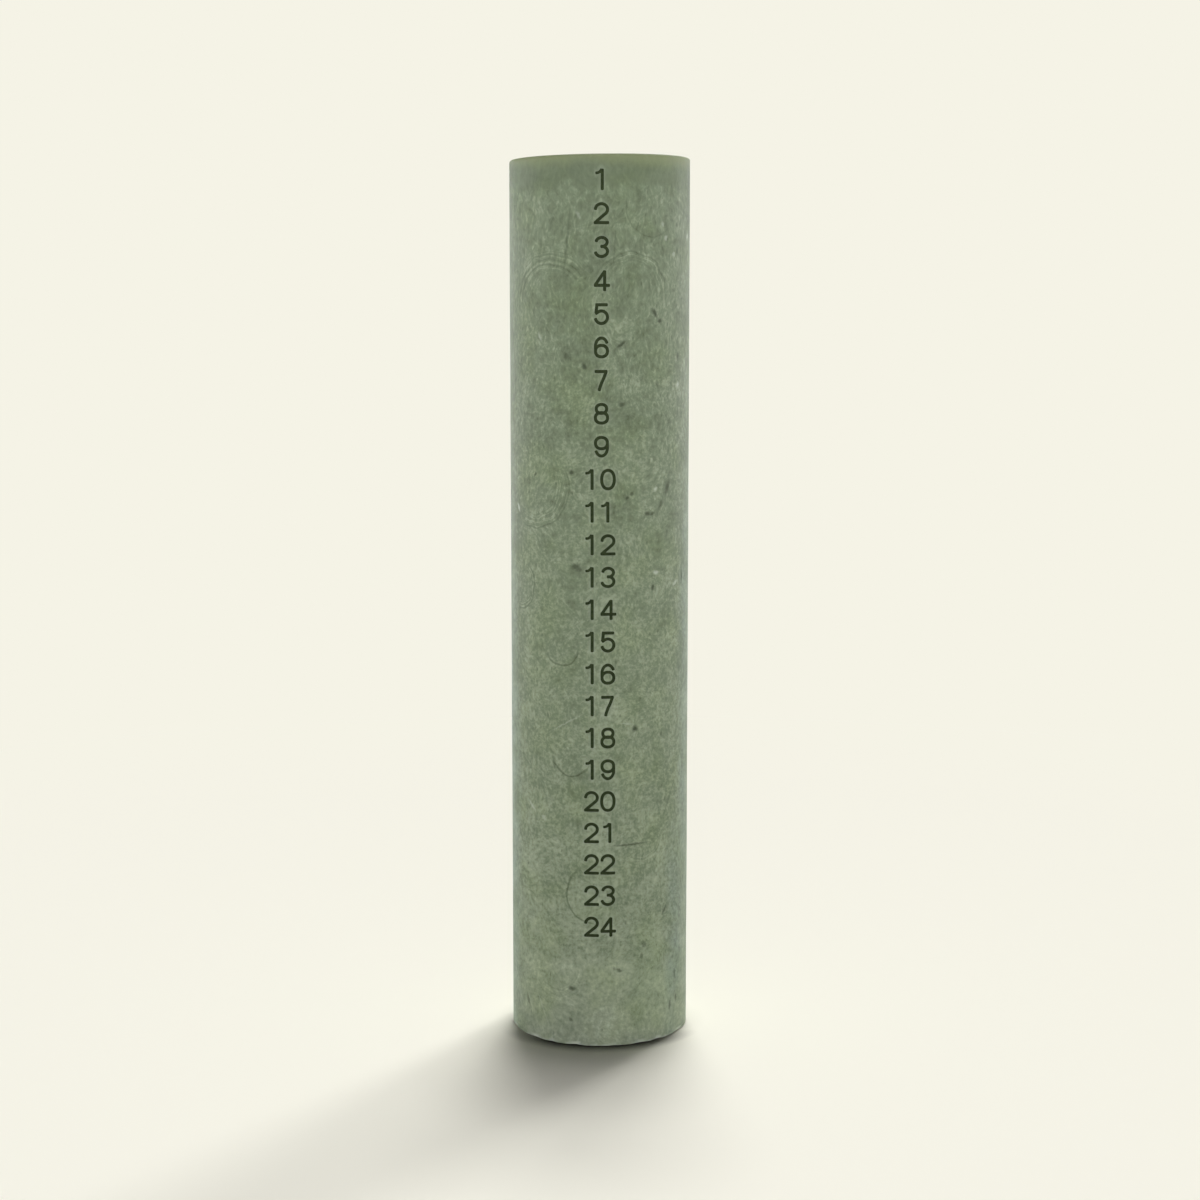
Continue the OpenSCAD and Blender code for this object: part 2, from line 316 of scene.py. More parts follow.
# %% Triangulate the strip
HALF_STRIP, STRIP_FOOT = 7, 28  # columns on each side of the middle, and mm above the base
CLEAR_OF_OUTLINE = 0.42
strip_columns = COLUMNS // 2 + np.arange(-HALF_STRIP, HALF_STRIP + 1)
row_numbers = np.arange(len(profile))
strip_rows = np.where((profile[:, 1] > STRIP_FOOT) & (row_numbers <= LAST_WALL) & (row_numbers >= FIRST_WALL))[0]
ids = np.arange(len(profile) * COLUMNS).reshape(len(profile), COLUMNS)
strip_ids = ids[np.ix_(strip_rows, strip_columns)]
edge_ids = np.concatenate([strip_ids[0, :-1], strip_ids[:-1, -1], strip_ids[-1, :0:-1], strip_ids[:0:-1, 0]])
inner_ids = strip_ids[1:-1, 1:-1].ravel()
flat = np.stack(np.broadcast_arrays(BODY_R * np.sin(angles), profile[:, 1:]), -1).reshape(-1, 2)
inner_ids = inner_ids[nearest_outline(flat[inner_ids])[0] > CLEAR_OF_OUTLINE]

start, end = outline[outline_edges[:, 0]], outline[outline_edges[:, 1]]
sideways = (end - start)[:, ::-1] * [-1, 1]
sideways /= np.maximum(np.linalg.norm(sideways, axis=1, keepdims=True), 1e-9)
normal = np.zeros_like(outline)
np.add.at(normal, outline_edges[:, 0], sideways)
np.add.at(normal, outline_edges[:, 1], sideways)
normal /= np.maximum(np.linalg.norm(normal, axis=1, keepdims=True), 1e-9)
probe = nearest_outline(outline + normal * 0.02)[1]
print("normals that point into a seat:", int(probe.sum()), "of", len(probe))
rings = []
for offset in (0.05, 0.16):
    ring = outline + normal * offset
    gap, inside = nearest_outline(ring)
    rings.append(ring[(gap > 0.85 * offset) & ~inside])
rings = np.concatenate(rings)
print("ring points:", len(rings))

# %% Assemble the triangles of the strip
corner_ids = np.concatenate([edge_ids, inner_ids])
plane = np.concatenate([flat[corner_ids], outline, rings])
fixed = np.concatenate([
    np.stack([np.arange(len(edge_ids)), np.roll(np.arange(len(edge_ids)), -1)], 1),
    outline_edges + len(corner_ids),
])
made = delaunay_2d_cdt(plane.tolist(), fixed.tolist(), [], 0, 1e-5, True)
strip_plane = np.array(made[0], dtype=float).reshape(-1, 2)
strip_triangles = np.array(made[2])
source = np.array([o[0] if o else -1 for o in made[3]])
turn = np.cross(strip_plane[strip_triangles[:, 1]] - strip_plane[strip_triangles[:, 0]],
                strip_plane[strip_triangles[:, 2]] - strip_plane[strip_triangles[:, 0]])
strip_triangles[turn < 0] = strip_triangles[turn < 0][:, ::-1]
strip_triangles = strip_triangles[np.abs(turn) > 1e-9]
in_seat = nearest_outline(strip_plane[strip_triangles].mean(1))[1]
gap = nearest_outline(strip_plane)[0]
print("strip:", len(strip_plane), "points,", len(strip_triangles), "triangles")

# %% [markdown]
# The skin points of the strip lie on the cast cylinder, and those close to a seat sink a little: that
# is the soft lip. The seat's floor lies 0.3 mm deep, and a wall joins the two along every edge of it.

# %% Skin, walls and floors of the strip
x, z = strip_plane[:, 0], strip_plane[:, 1]
angle_at = np.arcsin(x / BODY_R)
LIP_DEPTH, LIP_WIDTH = 0.05, 0.09
lip = LIP_DEPTH * np.exp(-(gap / LIP_WIDTH) ** 2)
PRESSED_EVEN = 0.6  # the stamp leaves this much of the waviness
skin_r = BODY_R - waviness(angle_at, z) * PRESSED_EVEN - lip
top_tilt = TOP_SLOPE * x * near_top(z)
skin_points = np.stack([x, -np.sqrt(skin_r**2 - x**2), z + top_tilt], 1)
floor_points = np.stack([x, -np.sqrt((BODY_R - PRESS_DEPTH) ** 2 - x**2), z], 1)
all_points = grid.reshape(-1, 3)
from_grid = (source >= 0) & (source < len(corner_ids))
grid_of = np.where(from_grid, corner_ids[np.clip(source, 0, len(corner_ids) - 1)], -1)
own = grid_of < 0
skin_ids = grid_of.copy()
skin_ids[own] = len(all_points) + np.arange(own.sum())
inside_strip = ~own & (np.isin(grid_of, inner_ids))
all_points[grid_of[inside_strip]] = skin_points[inside_strip]
floor_ids = len(all_points) + int(own.sum()) + np.arange(len(strip_plane))
all_points = np.concatenate([all_points, skin_points[own], floor_points])
seat_rim = directed_edges(strip_triangles[~in_seat])
seat_side = directed_edges(strip_triangles[in_seat])
stride = len(strip_plane)
shared = np.isin(seat_rim @ [stride, 1], seat_side[:, ::-1] @ [stride, 1])
a, b = seat_rim[shared].T
walls = np.concatenate([
    np.stack([skin_ids[b], skin_ids[a], floor_ids[a]], 1),
    np.stack([skin_ids[b], floor_ids[a], floor_ids[b]], 1),
])
print("walls:", len(walls), "triangles")

# %% The whole pillar
keep = np.ones(ids.shape, bool)
keep[np.ix_(strip_rows[:-1], strip_columns[:-1])] = False
pillar_triangles = np.concatenate([
    cell_triangles(np.pad(ids, ((0, 1), (0, 1)), "wrap"), keep),
    skin_ids[strip_triangles[~in_seat]],
    floor_ids[strip_triangles[in_seat]],
    walls,
])
pillar, used = write_mesh("wax_pillar", all_points, pillar_triangles, 35)
# Round each seat the wax is painted paler, a painted highlight, fading out over HALO mm.
HALO = 0.35
near_seat = np.zeros(len(all_points))
near_seat[skin_ids] = np.exp(-(gap / HALO) ** 2)
write_attribute(pillar, "near_seat", near_seat[used])
inked = np.ones(len(pillar_triangles))
inked[:len(pillar_triangles) - len(walls) - int(in_seat.sum())] = 0
write_attribute(pillar, "inked", np.repeat(inked, 3), "CORNER")
polar = np.arctan2(all_points[:, 0], -all_points[:, 1])
broken = chipped(polar, all_points[:, 2]) * (np.hypot(all_points[:, 0], all_points[:, 1]) > BODY_R - CHIP_REACH)
write_attribute(pillar, "chipped", np.clip(broken / 0.2, 0, 1)[used])
volume = signed_volume(all_points, pillar_triangles)
print("open edges:", len(border(pillar_triangles)), "volume in cubic cm:", round(volume / 1000, 2))
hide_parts("wax_body")
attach(pillar, "candle")

# %% [markdown]
# ## The wick
# A candle's wick is braided cotton, drawn through molten wax. Eight yarns run round it, four each way,
# and each passes over one of the others and then under the next. The braid follows one centre line:
# up the axis, through a tight quarter turn where it leaves the wax, and flat along the top.

# %% The braid's centre line
TURN_R = PIVOT_Z - WICK_TOP
UP_LENGTH = WICK_TOP - CLIP_LIFT
TURN_LENGTH = TURN_R * math.pi / 2
WICK_LENGTH = UP_LENGTH + TURN_LENGTH + TIP_LENGTH - TURN_R


def centre_line(s):
    """Point and direction angle at distance s along the wick: straight up, then a quarter circle
    towards +Y, then level. The angle is 0 for up and 90 degrees for +Y."""
    bend = np.clip((s - UP_LENGTH) / TURN_R, 0, math.pi / 2)
    level = np.clip(s - UP_LENGTH - TURN_LENGTH, 0, None)
    y = TURN_R * (1 - np.cos(bend)) + level
    z = CLIP_LIFT + np.clip(s, 0, UP_LENGTH) + TURN_R * np.sin(bend)
    return np.stack([0 * s, y, z], -1), bend


# %% Yarns of the braid
def closed_tube(rings, sides, start):
    """Triangles of a tube of rings with so many sides each, and the fans that close both its ends."""
    ids = start + np.arange(rings * sides).reshape(rings, sides)
    k, first, last = np.arange(1, sides - 1), ids[0, 0], ids[-1, 0]
    return np.concatenate([
        cell_triangles(np.pad(ids, ((0, 0), (0, 1)), "wrap")),
        np.stack([first + 0 * k, first + k + 1, first + k], 1),
        np.stack([last + 0 * k, last + k, last + k + 1], 1),
    ])


def along_wick(s, rho, phi):
    """Points at distance rho from the centre line, turned phi round it, at distance s along it."""
    centre, bend = centre_line(s)
    side = np.stack([0 * bend + 1, 0 * bend, 0 * bend], -1)
    back = np.stack([0 * bend, np.cos(bend), -np.sin(bend)], -1)
    return centre + rho[..., None] * (np.cos(phi)[..., None] * side + np.sin(phi)[..., None] * back)


LAY = 7.0  # a yarn goes once round the wick in this length
ONE_WAY, YARN_SIDES = 4, 8  # yarns that go round each way, and sides of a yarn
YARN_HALF_W, YARN_HALF_T = 0.37, 0.2
BRAID_R, WEAVE, CORE_R, CORE_SIDES = 0.62, 0.13, 0.55, 12
LEAN = math.atan2(2 * math.pi * BRAID_R, LAY)
FINE_FROM = 244.0  # from here up the wick can be seen, so its stations are closer
stations = np.concatenate([np.arange(0, FINE_FROM, 0.5), np.arange(FINE_FROM, WICK_LENGTH, 0.14), [WICK_LENGTH]])
around = np.radians(np.arange(YARN_SIDES) * 360 / YARN_SIDES)
parts, faces, along, lap = [], [], [], []
count = 0
for yarn in range(2 * ONE_WAY):
    way = 1 if yarn < ONE_WAY else -1
    phi = way * 2 * np.pi * stations / LAY + math.radians(360 / ONE_WAY * (yarn % ONE_WAY))
    rho = BRAID_R + WEAVE * way * np.cos(ONE_WAY * phi)
    taper = np.sqrt(np.clip((WICK_LENGTH - stations) / 0.25, 0.04, 1))
    s, phi, rho, taper = stations[:, None], phi[:, None], rho[:, None], taper[:, None]
    width, thick = YARN_HALF_W * taper * np.sin(around), YARN_HALF_T * taper * np.cos(around)
    slanted = s - width * np.sin(LEAN * way) * (s > 2) * (s < WICK_LENGTH - 0.5)
    parts.append(along_wick(slanted, rho + thick, phi + width * np.cos(LEAN) / rho).reshape(-1, 3))
    faces.append(closed_tube(len(stations), YARN_SIDES, count))
    along.append(np.repeat(stations, YARN_SIDES))
    lap.append(np.tile(np.arange(YARN_SIDES) / YARN_SIDES, len(stations)))
    count += len(parts[-1])
core_ends = stations[:-2]
core_s, core_phi = np.meshgrid(core_ends, np.radians(np.arange(CORE_SIDES) * 360 / CORE_SIDES), indexing="ij")
parts.append(along_wick(core_s, np.full(core_s.shape, CORE_R), core_phi).reshape(-1, 3))
faces.append(closed_tube(len(core_ends), CORE_SIDES, count))
along.append(core_s.ravel())
lap.append(np.tile(np.arange(CORE_SIDES) / CORE_SIDES, len(core_ends)))
wick_points, wick_triangles = np.concatenate(parts), np.concatenate(faces)
volume = signed_volume(wick_points, wick_triangles)
if volume < 0:
    wick_triangles = wick_triangles[:, ::-1]
braid, used = write_mesh("wick_braid", wick_points, wick_triangles, 80)
write_attribute(braid, "along", np.concatenate(along)[used])
write_attribute(braid, "around", np.concatenate(lap)[used])
print("wick box:", wick_points.min(0).round(3), wick_points.max(0).round(3))
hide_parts("wick", "wick_tip")
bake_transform(braid)

# %% [markdown]
# ## The wick clip
# The clip is pressed from tinned steel sheet. A real one has a rolled bead round the disc, which
# stiffens it, and a collar that is pinched on to the wick in four places.

# %% The clip's sheet, turned and pinched
BEAD_R, BEAD_WIDTH, BEAD_DEPTH = 6.2, 0.55, 0.2
PINCHES, PINCH_DEPTH = 4, 0.035


def clip_line():
    """Middle line of the sheet as radius and height: in along the disc with one bead, up round the
    bend and up the collar."""
    r = np.linspace(CLIP_R - 0.12, COLLAR_OUT + BEND_R + 0.001, 60)
    bead = -BEAD_DEPTH * np.exp(-(((r - BEAD_R) / BEAD_WIDTH) ** 2))
    disc = np.stack([r, CLIP_LIFT + CLIP_T / 2 + bead], 1)
    bend = arc([COLLAR_OUT + BEND_R, CLIP_TOP + BEND_R], BEND_R + CLIP_T / 2, 270, 180, 9)
    collar = steps([COLLAR_IN + CLIP_T / 2, CLIP_TOP + BEND_R], [COLLAR_IN + CLIP_T / 2, COLLAR_TOP - 0.08], 0.3)
    return np.concatenate([disc, bend[1:], collar[1:]])


line = clip_line()
ahead = np.gradient(line, axis=0)
across = np.stack([-ahead[:, 1], ahead[:, 0]], 1) / np.linalg.norm(ahead, axis=1, keepdims=True)
lower, upper = line + across * CLIP_T / 2, line - across * CLIP_T / 2
nose_in = line[0] + np.array([[0.09, -0.09], [0.12, 0.0], [0.09, 0.09]])
nose_up = line[-1] + np.array([[-0.09, 0.06], [0.0, 0.08], [0.09, 0.06]])
loop = np.concatenate([lower, nose_up, upper[::-1], nose_in[::-1]])
clip_angles = np.radians(np.arange(0, 360, 3.75))
loop_r, loop_z = loop[:, :1], loop[:, 1:]
pinched = np.clip((loop_z - 2.5) / 1.5, 0, 1) * np.clip((6.3 - loop_z) / 1.0, 0, 1)
clip_r = loop_r + np.minimum(PINCH_DEPTH * np.cos(PINCHES * clip_angles) * pinched, 0.03)
clip_points = np.stack([clip_r * np.sin(clip_angles), -clip_r * np.cos(clip_angles), loop_z + 0 * clip_angles], -1)
clip_ids = np.arange(clip_r.size).reshape(clip_r.shape)
clip_points, clip_triangles = clip_points.reshape(-1, 3), cell_triangles(np.pad(clip_ids, ((0, 1), (0, 1)), "wrap"))
volume = signed_volume(clip_points, clip_triangles)
if volume < 0:
    clip_triangles = clip_triangles[:, ::-1]
clip, used = write_mesh("clip_pressed", clip_points, clip_triangles, 50)
print("clip box:", clip_points.min(0).round(3), clip_points.max(0).round(3), "mm3:", round(abs(volume), 2))
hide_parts("wick_clip")
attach(clip, "candle")

# %% [markdown]
# ## Materials
# Colours are written as sRGB hex values, as a colour picker shows them, and one function turns them
# into the linear light that Blender works in. Another adds a node with its settings and links.

# %% Helpers for materials
def colour(code):
    """Linear red, green, blue and alpha of an sRGB hex colour such as 7A8A70."""
    parts = np.array([int(code[i:i + 2], 16) for i in (0, 2, 4)]) / 255
    linear = np.where(parts <= 0.04045, parts / 12.92, ((parts + 0.055) / 1.055) ** 2.4)
    return (*linear.tolist(), 1.0)


def add(tree, kind, inputs=None, **settings):
    """Adds a node, sets its properties, and fills or links its inputs by name or number. A node given
    for an input stands for its first output."""
    made = tree.nodes.new("ShaderNode" + kind)
    made.location = (260 * (len(tree.nodes) % 12), -240 * (len(tree.nodes) // 12))
    for key, value in settings.items():
        setattr(made, key, value)
    for key, value in (inputs or {}).items():
        if isinstance(value, bpy.types.Node):
            value = value.outputs[0]
        if isinstance(value, bpy.types.NodeSocket):
            tree.links.new(value, made.inputs[key])
        else:
            made.inputs[key].default_value = value
    return made


def new_material(name):
    """An empty material with an output node."""
    material = bpy.data.materials.new(name)
    material.use_nodes = True
    tree = material.node_tree
    tree.nodes.clear()
    return material, tree, tree.nodes.new("ShaderNodeOutputMaterial")


def size(millimetres):
    """Texture scale per metre for a pattern of that size in millimetres."""
    return 1000 / millimetres


SMOOTH = {"interpolation_type": "SMOOTHSTEP"}


# %% [markdown]
# ### Stearin wax
# Stearin sets in fine crystals. Against the mould they show as a grain about a millimetre across, drawn
# out into upright filaments in the upper half, where the wax cooled slowly, and swept into arcs where it
# swirled as it was poured. The pattern is a sum of noises, each worked out from such a size, and the sum
# picks a colour between dark and pale wax.

# %% Wax: grain, filaments and arcs
wax, tree, out = new_material("stearin_wax")
coords = add(tree, "TexCoord").outputs["Object"]
height = add(tree, "SeparateXYZ", {0: coords}).outputs["Z"]
drift = add(tree, "TexNoise", {"Vector": coords, "Scale": size(16)}).outputs["Color"]
drifted = add(tree, "VectorMath", {0: drift, 1: (0.006, 0.006, 0.006), 2: coords}, operation="MULTIPLY_ADD")
squat = add(tree, "Mapping", {"Vector": drifted, "Scale": (1.0, 1.0, 0.97)})
grain = add(tree, "TexNoise", {"Vector": squat, "Scale": size(1.3), "Detail": 3.0, "Roughness": 0.72,
        "Distortion": 0.12})
upright = add(tree, "Mapping", {"Vector": drifted, "Scale": (1.0, 1.0, 0.55)})
filaments = add(tree, "TexNoise", {"Vector": upright, "Scale": size(1.15), "Detail": 2.5, "Roughness": 0.65,
        "Distortion": 0.6})
swirl = add(tree, "TexVoronoi", {"Vector": drifted, "Scale": size(15)})
arcs = add(tree, "TexNoise", {"W": swirl.outputs["Distance"], "Scale": 9.0, "Roughness": 0.6}, noise_dimensions="1D")
clouds = add(tree, "TexNoise", {"Vector": coords, "Scale": size(7)})
grain_share = add(tree, "MapRange", {"Value": height, "From Min": 0.165, "From Max": 0.225, "To Min": 0.8,
        "To Max": 0.25}, **SMOOTH)
strand_share = add(tree, "MapRange", {"Value": height, "From Min": 0.13, "From Max": 0.205, "To Max": 0.68}, **SMOOTH)
grain_off = add(tree, "Math", {0: grain, 1: 0.5}, operation="SUBTRACT")
grained = add(tree, "Math", {0: grain_off, 1: grain_share, 2: 0.5}, operation="MULTIPLY_ADD")
strands_off = add(tree, "Math", {0: filaments, 1: 0.5}, operation="SUBTRACT")
crystals = add(tree, "Math", {0: strands_off, 1: strand_share, 2: grained}, operation="MULTIPLY_ADD")
with_arcs = add(tree, "Mix", {"Factor": 0.12, "A": crystals, "B": arcs})
with_clouds = add(tree, "Mix", {"Factor": 0.25, "A": with_arcs, "B": clouds})


# %% Wax: swirls and creases
# Where the wax turned in the mould it set in rings, and where two fronts met a fine crease stayed.
# Each is (mm to the right, mm above the base, radius, half band, facing in degrees from the right, strength).
SWIRLS = [
    (-13.7, 209.4, 12.0, 6.0, 110, 0.7), (8.9, 212.7, 9.6, 4.0, 75, 0.8), (-18.3, 159.2, 8.9, 3.4, -45, 1.0),
    (-22.4, 131.2, 5.5, 2.6, -20, 0.8), (12.0, 60.0, 7.0, 3.5, -60, 0.6), (-6.0, 239.0, 9.0, 3.5, -100, 0.4),
    (-7.9, 83.8, 4.0, 2.4, 140, 0.7), (-12.0, 22.0, 7.5, 3.5, -70, 0.7),
]
CREASES = [
    (-7.9, 83.8, 5.7, 0.42, -100, 1.2), (-1.0, 44.1, 8.5, 0.45, 200, 1.2), (-10.8, 114.6, 5.2, 0.42, -75, 1.2),
    (14.7, 236.2, 8.4, 0.4, -125, 0.6), (-22.4, 131.2, 7.0, 0.4, -25, 0.9), (-18.3, 159.2, 11.6, 0.4, -45, 0.9),
]


def curved_lines(tree, coords, places, several):
    """Darkness of arcs round given middles. A Mapping node makes the radius 1, so the distance from 1,
    over the half band, gives a line that fades to both sides, kept only on the side it faces. With
    several, a noise of the distance alone fills a wide band with lines about a millimetre apart."""
    total = 0.0
    for across, up, radius, half_band, facing, strength in places:
        turn = math.asin(across / BODY_R)
        place = (across * MM, -BODY_R * math.cos(turn) * MM, up * MM)
        local = add(tree, "Mapping", {"Vector": coords, "Location": place, "Scale": (radius * MM,) * 3,
                "Rotation": (0, -math.radians(facing), turn)}, vector_type="TEXTURE")
        away = add(tree, "VectorMath", {0: local}, operation="LENGTH").outputs["Value"]
        off = add(tree, "Math", {0: add(tree, "Math", {0: away, 1: 1.0}, operation="SUBTRACT")}, operation="ABSOLUTE")
        line = add(tree, "MapRange", {"Value": off, "From Max": half_band / radius, "To Min": strength,
                "To Max": 0.0}, **SMOOTH)
        if several:
            noise = add(tree, "TexNoise", {"W": away, "Scale": radius / 0.8, "Roughness": 0.7}, noise_dimensions="1D")
            wave = add(tree, "MapRange", {"Value": noise, "From Min": 0.25, "From Max": 0.75, "To Min": -1.0,
                    "To Max": 1.0})
            line = add(tree, "Math", {0: line, 1: wave}, operation="MULTIPLY")
        faced = add(tree, "MapRange", {"Value": add(tree, "SeparateXYZ", {0: local}).outputs["X"],
                "From Min": 0.1, "From Max": 0.6}, **SMOOTH)
        total = add(tree, "Math", {0: line, 1: faced, 2: total}, operation="MULTIPLY_ADD")
    return total


def shaken(tree, coords, pattern, reach):
    """Coordinates moved to all sides by a noise: the coordinates plus reach times (noise - 1/2)."""
    noise = add(tree, "TexNoise", {"Vector": coords, "Scale": size(pattern), "Detail": 1.0}).outputs["Color"]
    moved = add(tree, "VectorMath", {0: noise, 1: (reach * MM,) * 3, 2: coords}, operation="MULTIPLY_ADD")
    return add(tree, "VectorMath", {0: moved, 1: (reach / 2 * MM,) * 3}, operation="SUBTRACT")


bent = shaken(tree, coords, 4, 1.6)
swirls, creases = curved_lines(tree, bent, SWIRLS, True), curved_lines(tree, bent, CREASES, False)
ringed = add(tree, "Math", {0: swirls, 1: -0.11, 2: with_clouds}, operation="MULTIPLY_ADD")
ringed = add(tree, "Math", {0: creases, 1: -0.13, 2: ringed}, operation="MULTIPLY_ADD")
print("swirls:", len(SWIRLS), "creases:", len(CREASES))

# %% Wax: the smooth skin under the rim
# The last hot wax was poured on top when the rest had set, so the uppermost millimetres are smoother,
# down to a ragged border.
border_noise = add(tree, "TexNoise", {"Vector": coords, "Scale": size(5)})
border_height = add(tree, "Math", {0: border_noise, 1: 0.008, 2: height}, operation="MULTIPLY_ADD")
skin_band = add(tree, "MapRange", {"Value": border_height, "From Min": 0.2440, "From Max": 0.2475,
        "To Max": 0.6}, **SMOOTH)
quiet = add(tree, "Mix", {"Factor": skin_band, "A": ringed, "B": 0.41})
quiet = add(tree, "Mix", {"Factor": 0.04, "A": quiet, "B": 0.49})
# Painted light: the candle is painted paler towards its foot, most of all in front, standing in for front light that
# the shadowed floor doesn't give it.
lower = add(tree, "MapRange", {"Value": height, "From Max": 0.21, "To Min": 0.088, "To Max": -0.025})
foot = add(tree, "MapRange", {"Value": height, "From Max": 0.045, "To Min": 0.11, "To Max": 0.0}, **SMOOTH)
to_back = add(tree, "SeparateXYZ", {0: coords}).outputs["Y"]
in_front = add(tree, "MapRange", {"Value": to_back, "From Min": -0.025, "From Max": -0.012, "To Min": 1.0,
        "To Max": 0.2})
foot = add(tree, "Math", {0: foot, 1: in_front}, operation="MULTIPLY")
painted_foot_light = add(tree, "Math", {0: lower, 1: foot}, operation="ADD")
quiet = add(tree, "Math", {0: quiet, 1: painted_foot_light}, operation="ADD")
tone = add(tree, "ValToRGB", {"Fac": quiet})
tone.color_ramp.elements[0].position, tone.color_ramp.elements[0].color = 0.28, colour("3F4934")
tone.color_ramp.elements[1].position, tone.color_ramp.elements[1].color = 0.9, colour("B0BBA1")
tone.color_ramp.elements.new(0.5).color = colour("647158")
tone.color_ramp.elements.new(0.72).color = colour("8F9B81")

# %% Wax: patches of hue and a painted glow under the rim
# The dye isn't spread evenly: broad patches lean to yellow-green. Under the rim an olive band is painted, a painted
# glow of light passing through the thin wax of the rim.
patches = add(tree, "TexNoise", {"Vector": coords, "Scale": size(12)})
yellower = add(tree, "MapRange", {"Value": patches, "From Min": 0.45, "From Max": 0.7, "To Max": 0.28})
rim_height = add(tree, "Math", {0: patches, 1: 0.003, 2: height}, operation="MULTIPLY_ADD")
painted_rim_glow = add(tree, "MapRange", {"Value": rim_height, "From Min": 0.2473, "From Max": 0.2512,
        "To Max": 0.65}, **SMOOTH)

# %% Wax: dark spots and flecks that were there to be seen
# Each dark spot is (mm to the right of the middle, mm above the base, half length, half width, lean in degrees from
# the horizontal, strength). A dark spot is painted darker than the wax round it and a fleck is paler.
DARK_SPOTS = [
    (18.9, 158.9, 2.4, 0.8, 70, 0.8), (17.0, 154.2, 1.8, 0.7, 60, 0.6), (13.3, 151.9, 1.0, 0.6, 160, 0.9),
    (14.6, 151.8, 0.9, 0.5, 15, 0.8), (-6.7, 137.3, 1.6, 0.8, 8, 0.8), (-5.9, 136.6, 0.9, 1.1, 60, 0.7),
    (15.2, 207.1, 1.4, 0.6, 125, 1.0), (16.6, 205.0, 0.8, 0.6, 20, 0.9), (23.2, 133.5, 2.1, 0.6, 95, 0.8),
    (5.9, 198.6, 1.5, 0.45, 41, 1.0), (-20.5, 10.6, 2.0, 0.6, 114, 0.6), (9.9, 91.5, 0.9, 0.8, 62, 1.0),
    (-4.2, 192.7, 1.1, 0.65, 102, 1.0), (20.2, 9.2, 1.5, 0.6, 90, 0.7), (6.1, 182.1, 0.9, 0.7, 176, 0.8),
    (14.8, 131.1, 1.0, 0.6, 84, 0.9), (7.6, 156.4, 0.7, 0.6, 60, 0.9), (8.8, 157.5, 0.6, 0.45, 20, 0.7),
    (-9.3, 195.3, 1.0, 0.6, 74, 0.7), (21.8, 195.5, 1.3, 0.5, 76, 0.7), (18.4, 37.8, 1.6, 0.45, 60, 0.8),
    (-8.2, 7.4, 0.8, 0.6, 130, 0.6), (22.0, 10.5, 1.2, 0.5, 80, 0.6), (21.6, 17.9, 1.4, 0.6, 100, 0.6),
    (11.9, 25.6, 1.0, 0.5, 80, 0.6), (8.6, 58.4, 5.6, 0.3, 2, 0.7), (4.1, 224.9, 5.5, 0.25, 86, 0.35),
    (-8.9, 226.8, 9.0, 0.4, 84, 0.45), (20.2, 71.7, 8.5, 0.25, 63, 0.3), (21.4, 231.4, 0.8, 0.6, 90, 0.6),
    (21.4, 224.2, 1.0, 0.6, 90, 0.6), (-8.0, 16.6, 1.2, 0.6, 178, 0.8), (5.5, 22.1, 0.9, 0.6, 161, 0.8),
    (-7.8, 163.5, 0.8, 0.6, 50, 0.9), (-17.9, 162.6, 0.9, 0.5, 45, 0.8), (15.9, 187.7, 1.0, 0.6, 96, 0.6),
    (12.6, 29.0, 1.0, 0.7, 119, 0.5),
]
FLECKS = [
    (-22.8, 152.9, 1.3, 0.5, 121, 0.9), (-19.2, 68.1, 1.9, 0.4, 137, 0.6), (21.3, 131.7, 1.3, 0.5, 29, 0.6),
    (-15.8, 65.3, 1.0, 0.6, 141, 0.5), (15.5, 158.6, 0.8, 0.5, 44, 0.7), (-9.4, 93.2, 5.5, 0.2, 29, 0.35),
    (7.7, 93.1, 1.7, 0.25, 176, 0.4), (-16.2, 9.3, 5.5, 0.25, 115, 0.35), (18.2, 227.6, 0.8, 0.6, 60, 0.6),
    (24.5, 228.3, 0.9, 0.7, 60, 0.8), (17.3, 231.4, 0.7, 0.5, 120, 0.5), (20.5, 223.3, 0.7, 0.6, 30, 0.5),
    (21.8, 187.3, 0.9, 0.6, 73, 0.7), (-16.5, 200.6, 1.3, 0.45, 118, 0.5), (-5.9, 233.7, 1.2, 0.5, 122, 0.35),
    (15.7, 135.2, 0.9, 0.6, 176, 0.8),
]
DEEP = 2  # how far below the skin, in mm, a mark reaches


def spots(tree, coords, marks, softness):
    """Darkness of a set of oval marks on the candle's front. A Mapping node turns each oval, taken
    (1 + softness) times as large, into a unit ball round the origin. A spherical gradient is 1 in the
    middle of the ball and 0 at its edge; the mark rises with it from 0 to its strength, and the marks'
    largest value is kept."""
    total, reach = 0.0, 1 + softness
    for across, up, half_length, half_width, lean, strength in marks:
        turn = math.asin(across / BODY_R)
        place = (across * MM, -BODY_R * math.cos(turn) * MM, up * MM)
        scale = [half * reach * MM for half in (half_length, DEEP, half_width)]
        local = add(tree, "Mapping", {"Vector": coords, "Location": place, "Scale": scale,
                "Rotation": (0, -math.radians(lean), turn)}, vector_type="TEXTURE")
        inside = add(tree, "TexGradient", {"Vector": local}, gradient_type="SPHERICAL").outputs["Fac"]
        mark = add(tree, "MapRange", {"Value": inside, "From Max": 1 - 0.3 / reach, "To Max": strength}, **SMOOTH)
        total = add(tree, "Math", {0: total, 1: mark}, operation="MAXIMUM")
    return total


ragged = shaken(tree, coords, 0.9, 0.7)
dark_spots = spots(tree, ragged, DARK_SPOTS, 0.4)
flecks = spots(tree, ragged, FLECKS, 0.5)
